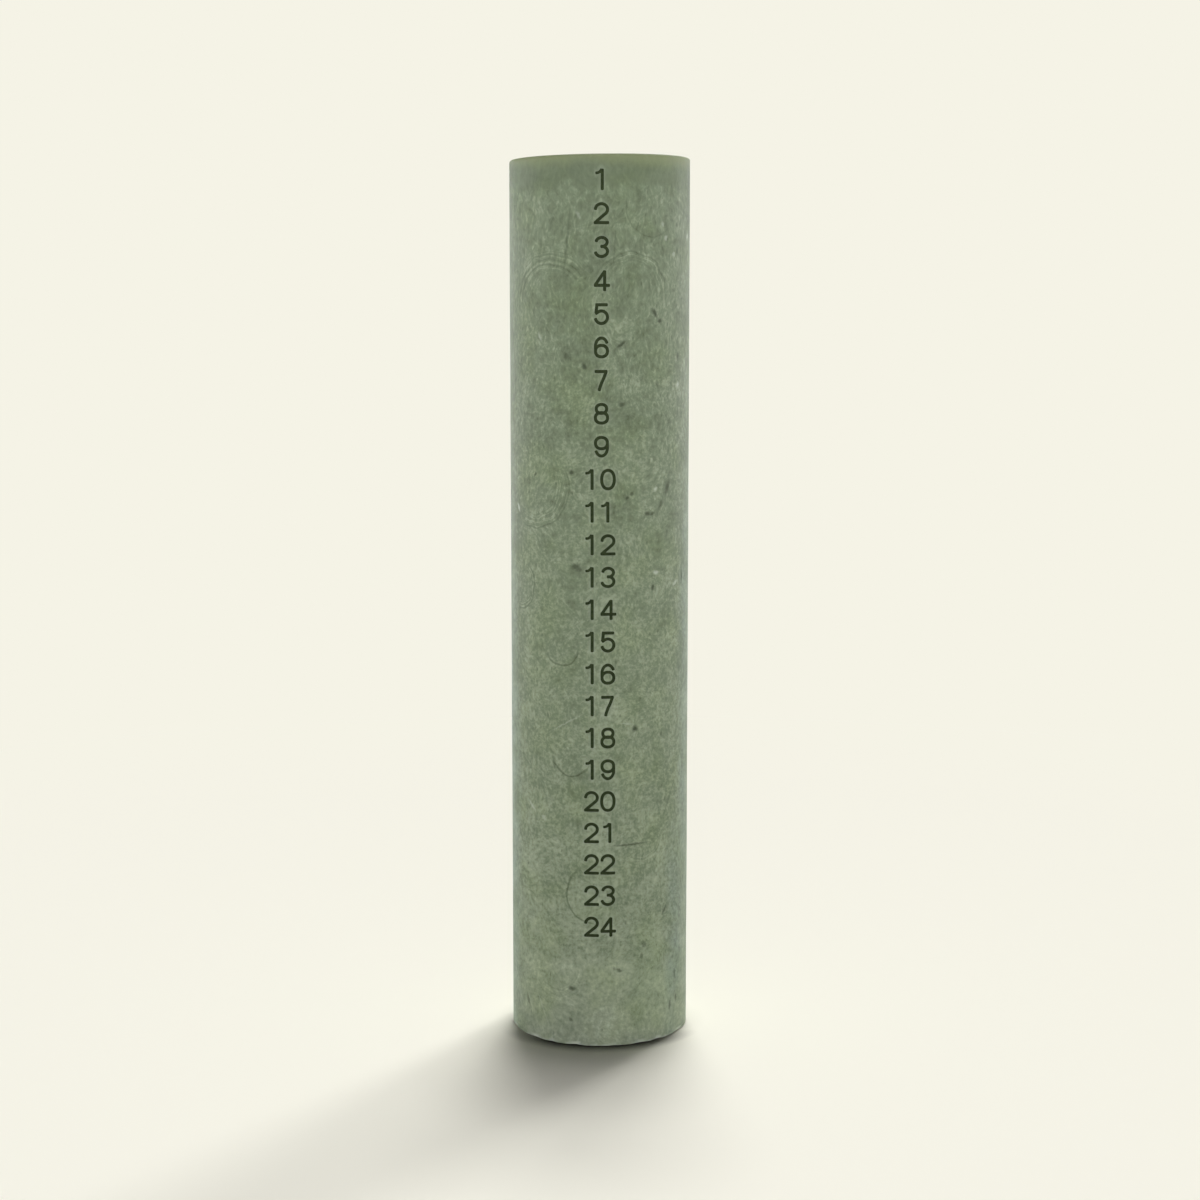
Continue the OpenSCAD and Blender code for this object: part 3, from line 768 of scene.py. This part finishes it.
# Low on the right a grey-blue tint is painted close to the edge, a painted cool sheen, and along both edges a painted
# highlight makes the wax pale. Near the rim on the left, and low in front, the wax is painted darker, a painted
# shade. The cool sheen spots are read at the drifted coordinates, so their middles lie about 3 mm off.
COOL_SHEEN_SPOTS = [(23.7, 24.0, 38.0, 4.6, 90, 1.0), (24.9, 100.0, 60.0, 3.2, 90, 0.8)]
# Painted highlight: pale, cool light added along both edges.
EDGE_HIGHLIGHT_SPOTS = [(-25.2, 56.0, 84.0, 8.0, 90, 1.0), (24.9, 85.0, 60.0, 6.0, 90, 0.4)]
# Painted shade: darker spots near the rim on the left and low in front.
PAINTED_SHADE_SPOTS = [(-24.3, 242.0, 10.0, 7.0, 90, 0.8), (-24.3, 210.0, 40.0, 6.0, 90, 0.5), (13.2, 18.0, 16.0, 6.0, 90, 0.35)]
cloudy = add(tree, "MapRange", {"Value": clouds, "From Min": 0.35, "From Max": 0.55, "To Min": 0.4})
painted_cool_sheen = add(tree, "Math", {0: spots(tree, drifted, COOL_SHEEN_SPOTS, 0.6), 1: cloudy}, operation="MULTIPLY")
painted_edge_highlight = add(tree, "Math", {0: spots(tree, bent, EDGE_HIGHLIGHT_SPOTS, 0.6), 1: cloudy}, operation="MULTIPLY")
painted_shade = spots(tree, bent, PAINTED_SHADE_SPOTS, 0.6)
speck_place = add(tree, "Mapping", {"Vector": drifted, "Scale": (1.0, 1.0, 0.5)})
speck_distance = add(tree, "TexVoronoi", {"Vector": speck_place, "Scale": size(3.4)}).outputs["Distance"]
specks = add(tree, "MapRange", {"Value": speck_distance, "From Min": 0.04, "From Max": 0.11, "To Min": 0.5,
        "To Max": 0.0})
dark_marks = add(tree, "Math", {0: dark_spots, 1: specks}, operation="MAXIMUM")
dark_marks = add(tree, "Math", {0: dark_marks, 1: 0.9}, operation="MULTIPLY")
pale_marks = add(tree, "Math", {0: flecks, 1: 0.6}, operation="MULTIPLY")
print("dents:", len(DARK_SPOTS), "flecks:", len(FLECKS))

# %% Wax: painted highlights round the seats and along the lower edge, chips and ink
# Round a numeral the wax is painted a little paler, a painted highlight along the edge of its seat, and the ink has
# wetted the walls of its seat. Along the lower edge a broken pale line is painted, a painted highlight, and a chip
# shows fresh wax.
halo = add(tree, "Attribute", attribute_name="near_seat").outputs["Fac"]
painted_seat_highlight = add(tree, "Math", {0: halo, 1: 0.2}, operation="MULTIPLY")
# Painted highlight: a broken pale line along the lowest millimetre; the chips beside it show fresh wax.
painted_lower_edge_highlight = add(tree, "MapRange", {"Value": height, "From Min": 0.0003, "From Max": 0.0008, "To Min": 1.0,
        "To Max": 0.0})
broken_line = add(tree, "MapRange", {"Value": clouds, "From Min": 0.42, "From Max": 0.6, "To Max": 0.5})
painted_lower_edge_highlight = add(tree, "Math", {0: painted_lower_edge_highlight, 1: broken_line}, operation="MULTIPLY")
chips = add(tree, "Attribute", attribute_name="chipped").outputs["Fac"]
chips_and_edge_highlight = add(tree, "Math", {0: painted_lower_edge_highlight, 1: chips}, operation="MAXIMUM")
inked = add(tree, "Attribute", attribute_name="inked").outputs["Fac"]

# %% Wax: the layers of its colour
# Each layer is (how much of it there is, its colour, how it mixes with what lies under it).
# Of these layers, the rim glow is painted light, the cool sheen is a painted reflection, the edge and seat highlights
# are painted highlights, the shade spots are painted shade, and the lower edge line is a painted highlight beside
# real chips.
layers = [
    (yellower, "EEF7C8", "MULTIPLY"), (painted_rim_glow, "727B57", "MIX"), (painted_cool_sheen, "EBF1FF", "MULTIPLY"),
    (painted_edge_highlight, "21303C", "ADD"), (painted_shade, "DDE8D2", "MULTIPLY"), (dark_marks, "313A27", "MIX"),
    (pale_marks, "AFB9A8", "MIX"), (painted_seat_highlight, "96A28B", "MIX"), (chips_and_edge_highlight, "C4CEB9", "MIX"), (inked, "212B14", "MIX"),
]
wax_colour = tone
for share, code, blend in layers:
    wax_colour = add(tree, "MixRGB", {"Fac": share, "Color1": wax_colour, "Color2": colour(code)}, blend_type=blend)
print("layers:", len(layers))

# %% Wax: relief, gloss and light within
# The grain also stands up by a few hundredths of a millimetre and makes the gloss uneven. Wax lets light
# in to about a millimetre, and a bloom of stearin on its skin looks pale and cool where it is seen aslant.
fine = add(tree, "TexNoise", {"Vector": coords, "Scale": size(0.45)})
relief = add(tree, "Mix", {"Factor": 0.4, "A": grain, "B": fine})
pits = add(tree, "Math", {0: specks, 1: 0.6}, operation="MULTIPLY")
relief = add(tree, "Math", {0: relief, 1: pits}, operation="SUBTRACT")
bump = add(tree, "Bump", {"Height": relief, "Strength": 0.4, "Distance": 0.00012})
dullness = add(tree, "MapRange", {"Value": grain, "From Min": 0.3, "From Max": 0.7, "To Min": 0.5, "To Max": 0.64})
surface = add(tree, "BsdfPrincipled", {
    "Base Color": wax_colour, "Roughness": dullness, "IOR": 1.44, "Specular IOR Level": 0.22, "Normal": bump,
    "Subsurface Weight": 0.2, "Subsurface Radius": (1.0, 1.1, 0.7), "Subsurface Scale": 0.0008,
    "Sheen Weight": 0.045, "Sheen Roughness": 0.3, "Sheen Tint": colour("D0EAFF"),
})
tree.links.new(surface.outputs[0], out.inputs["Surface"])
pillar.data.materials.append(wax)
print("wax nodes:", len(tree.nodes))

# %% [markdown]
# ### Printing ink
# The ink is a dark green film that was rolled on to the floor of each seat. It is slightly uneven.

# %% Ink
ink, tree, out = new_material("numeral_printing_ink")
coords = add(tree, "TexCoord").outputs["Object"]
cover = add(tree, "TexNoise", {"Vector": coords, "Scale": size(0.8), "Detail": 3.0, "Roughness": 0.6})
tint = add(tree, "ValToRGB", {"Fac": cover})
tint.color_ramp.elements[0].position, tint.color_ramp.elements[0].color = 0.32, colour("19220D")
tint.color_ramp.elements[1].position, tint.color_ramp.elements[1].color = 0.72, colour("2A341B")
grain = add(tree, "Bump", {"Height": cover, "Strength": 0.3, "Distance": 0.00005})
film = add(tree, "BsdfPrincipled", {"Base Color": tint, "Roughness": 0.7, "IOR": 1.48,
        "Specular IOR Level": 0.12, "Normal": grain})
tree.links.new(film.outputs[0], out.inputs["Surface"])
for n in range(1, 25):
    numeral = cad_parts[f"numeral_{n:02d}"]
    numeral.material_slots[0].material = ink

# %% [markdown]
# ### Waxed cotton
# Bleached cotton yarn is off-white and dull; the wax makes it a little darker and gives it a soft
# shine. The fibres of each yarn run at a slant, which the bump draws from the distance along the wick.

# %% Cotton
cotton, tree, out = new_material("waxed_cotton_braid")
coords = add(tree, "TexCoord").outputs["Object"]
along_it = add(tree, "Attribute", attribute_name="along").outputs["Fac"]
round_it = add(tree, "Attribute", attribute_name="around").outputs["Fac"]
FIBRE_STEP = 0.4488  # mm from fibre to fibre along the wick; real ones are too fine to show
twice_round = add(tree, "Math", {0: round_it, 1: 4 * math.pi}, operation="MULTIPLY")
twist = add(tree, "Math", {0: along_it, 1: 2 * math.pi / FIBRE_STEP, 2: twice_round}, operation="MULTIPLY_ADD")
fibres = add(tree, "Math", {0: twist}, operation="SINE")
fuzz = add(tree, "TexNoise", {"Vector": coords, "Scale": size(0.15)})
yarn_colour = add(tree, "MixRGB", {"Fac": fuzz, "Color1": colour("CFC7AE"), "Color2": colour("EFEAD9")})
waxy = add(tree, "TexNoise", {"Vector": coords, "Scale": size(1.1), "Detail": 1.0})
waxy = add(tree, "MapRange", {"Value": waxy, "From Min": 0.5, "From Max": 0.62, "To Max": 0.35})
yarn_colour = add(tree, "MixRGB", {"Fac": waxy, "Color1": yarn_colour, "Color2": colour("A9AE94")})
fibre_height = add(tree, "Math", {0: fibres, 1: fuzz}, operation="ADD")
fibre_bump = add(tree, "Bump", {"Height": fibre_height, "Strength": 0.5, "Distance": 0.00004})
yarn = add(tree, "BsdfPrincipled", {"Base Color": yarn_colour, "Roughness": 0.6, "Normal": fibre_bump,
        "Coat Weight": 0.15, "Coat Roughness": 0.35})
tree.links.new(yarn.outputs[0], out.inputs["Surface"])
braid.data.materials.append(cotton)

# %% [markdown]
# ### Tinned steel
# Tin plate is bright but not a mirror: rolling leaves fine lines in it, and the tin has faint spangles.

# %% Tinned steel
steel, tree, out = new_material("tinned_steel_sheet")
coords = add(tree, "TexCoord").outputs["Object"]
rolled = add(tree, "Mapping", {"Vector": coords, "Scale": (0.06, 1.0, 1.0)})
lines = add(tree, "TexNoise", {"Vector": rolled, "Scale": size(0.12), "Detail": 3.0})
spangle = add(tree, "TexVoronoi", {"Vector": coords, "Scale": size(1.6)}).outputs["Color"]
tin = add(tree, "MixRGB", {"Fac": 0.12, "Color1": colour("C9CBCB"), "Color2": spangle}, blend_type="SOFT_LIGHT")
tin_rough = add(tree, "MapRange", {"Value": lines, "From Min": 0.3, "From Max": 0.7, "To Min": 0.22, "To Max": 0.42})
tin_bump = add(tree, "Bump", {"Height": lines, "Strength": 0.2, "Distance": 0.00002})
plate = add(tree, "BsdfPrincipled", {"Base Color": tin, "Metallic": 1.0, "Roughness": tin_rough, "Normal": tin_bump})
tree.links.new(plate.outputs[0], out.inputs["Surface"])
clip.data.materials.append(steel)

# %% [markdown]
# ## The studio
# The candle stands on plain cream paper in front of a cream wall. Four soft lamps hang behind it and a
# little to its right, from almost overhead to low down. A high lamp gives a short dark shadow and a low
# one a long faint one, so together they make a wedge that fades forward and to the left. The front of
# the candle is lit by the paper and by the bright walls of the room, low down all round it.

# %% Paper floor
# Far from the candle the camera sees the paper in exactly the colour of the wall, so no horizon shows.
BACKDROP = "F5F3E6"
HALF_SIDE, JUST_BELOW = 6.0, -0.00005
corners = [(x * HALF_SIDE, y * HALF_SIDE, JUST_BELOW) for x, y in ((-1, -1), (1, -1), (1, 1), (-1, 1))]
floor_mesh = bpy.data.meshes.new("studio_floor")
floor_mesh.from_pydata(corners, [], [(0, 1, 2, 3)])
floor = bpy.data.objects.new("studio_floor", floor_mesh)
bpy.context.scene.collection.objects.link(floor)
paper, tree, out = new_material("cream_paper")
# Painted shadow: close to the candle's foot, and only in front of it, the paper is painted darker towards 2E2B28 as
# far as an ambient occlusion finds it enclosed.
painted_contact_shadow = add(tree, "AmbientOcclusion", {"Distance": 0.006}, samples=8).outputs["AO"]
painted_contact_shadow = add(tree, "MapRange", {"Value": painted_contact_shadow, "From Min": 0.55, "From Max": 1.0, "To Min": 0.95, "To Max": 0.0})
forward = add(tree, "SeparateXYZ", {0: add(tree, "TexCoord").outputs["Object"]}).outputs["Y"]
hidden = add(tree, "MapRange", {"Value": forward, "From Min": -0.021, "From Max": -0.010, "To Min": 1.0,
        "To Max": 0.1})
painted_contact_shadow = add(tree, "Math", {0: painted_contact_shadow, 1: hidden}, operation="MULTIPLY")
cream = add(tree, "MixRGB", {"Fac": painted_contact_shadow, "Color1": colour(BACKDROP), "Color2": colour("2E2B28")})
matt = add(tree, "BsdfDiffuse", {"Color": cream})
wall = add(tree, "Emission", {"Color": colour(BACKDROP), "Strength": 1.0})
from_axis = add(tree, "VectorMath", {0: add(tree, "TexCoord").outputs["Object"]}, operation="LENGTH").outputs["Value"]
far = add(tree, "MapRange", {"Value": from_axis, "From Min": 0.26, "From Max": 0.5}, **SMOOTH)
far = add(tree, "Math", {0: far, 1: add(tree, "LightPath").outputs["Is Camera Ray"]}, operation="MULTIPLY")
top = add(tree, "MixShader", {0: far, 1: matt, 2: wall})
under = add(tree, "NewGeometry").outputs["Backfacing"]
sided = add(tree, "MixShader", {0: under, 1: top, 2: add(tree, "BsdfTransparent")})
tree.links.new(sided.outputs[0], out.inputs["Surface"])
floor_mesh.materials.append(paper)

# %% Room light
# The strength of the room's light depends only on how steeply a ray rises: bright near the horizon,
# faint above. The camera, gloss and glass see the plain wall instead.
world = bpy.data.worlds.new("studio_room")
bpy.context.scene.world = world
world.use_nodes = True
tree = world.node_tree
tree.nodes.clear()
out = tree.nodes.new("ShaderNodeOutputWorld")
direction = add(tree, "TexCoord").outputs["Generated"]
rise = add(tree, "Math", {0: add(tree, "SeparateXYZ", {0: direction}).outputs["Z"]}, operation="ABSOLUTE")
band = add(tree, "MapRange", {"Value": rise, "From Min": 0.02, "From Max": 0.07, "To Min": 19.0,
        "To Max": 0.03}, **SMOOTH)
room = add(tree, "Background", {"Color": (1.01, 0.965, 1.07, 1), "Strength": band})
plain = add(tree, "Background", {"Color": colour(BACKDROP), "Strength": 1.0})
path = add(tree, "LightPath")
seen = add(tree, "Math", {0: path.outputs["Is Camera Ray"], 1: path.outputs["Is Glossy Ray"]}, operation="MAXIMUM")
seen = add(tree, "Math", {0: seen, 1: path.outputs["Is Transmission Ray"]}, operation="MAXIMUM")
chosen = add(tree, "MixShader", {0: seen, 1: room, 2: plain})
tree.links.new(chosen.outputs[0], out.inputs["Surface"])


# %% Four soft lamps
def soft_lamp(name, turn, rise, width, share):
    """A distant lamp behind the candle: turned to its right and raised, in degrees, as wide as given in
    degrees. It gives its share of the floor's light: the strength is pi times the share over sin(rise)."""
    data = bpy.data.lights.new(name, "SUN")
    data.energy = math.pi * share / math.sin(math.radians(rise))
    data.angle = math.radians(width)
    lamp = bpy.data.objects.new(name, data)
    bpy.context.scene.collection.objects.link(lamp)
    turn, rise = math.radians(turn), math.radians(rise)
    lamp.rotation_mode = "QUATERNION"
    to_lamp = Vector((math.sin(turn) * math.cos(rise), math.cos(turn) * math.cos(rise), math.sin(rise)))
    lamp.rotation_quaternion = to_lamp.to_track_quat("Z", "Y")
    print(name, "strength", round(data.energy, 3))


soft_lamp("lamp_overhead", 13, 86.1, 6.4, 0.207)
soft_lamp("lamp_high", 10, 78.1, 9.8, 0.280)
soft_lamp("lamp_back", 4, 66.5, 12.6, 0.270)
soft_lamp("lamp_side", 29, 38.7, 11.4, 0.170)

# %% [markdown]
# ## The camera
# The camera stands a little below the candle's top and looks down by 7 degrees. Its distance and lens
# were worked out from the outline: the sides draw together downwards, and the base is more curved
# than the rim.

# %% Camera
DISTANCE, EYE_HEIGHT, LOOK_DOWN, LENS = 0.63558, 0.20638, 7.306, 66.5
camera_data = bpy.data.cameras.new("camera")
camera_data.sensor_width = 36
camera_data.lens = LENS
camera = bpy.data.objects.new("camera", camera_data)
bpy.context.scene.collection.objects.link(camera)
camera.location = (0.0001, -DISTANCE, EYE_HEIGHT)
camera.rotation_euler = (math.radians(90 - LOOK_DOWN), 0, 0)
camera_data.clip_start, camera_data.clip_end = 0.01, 50
bpy.context.scene.camera = camera
bpy.context.scene.view_settings.view_transform = "Standard"
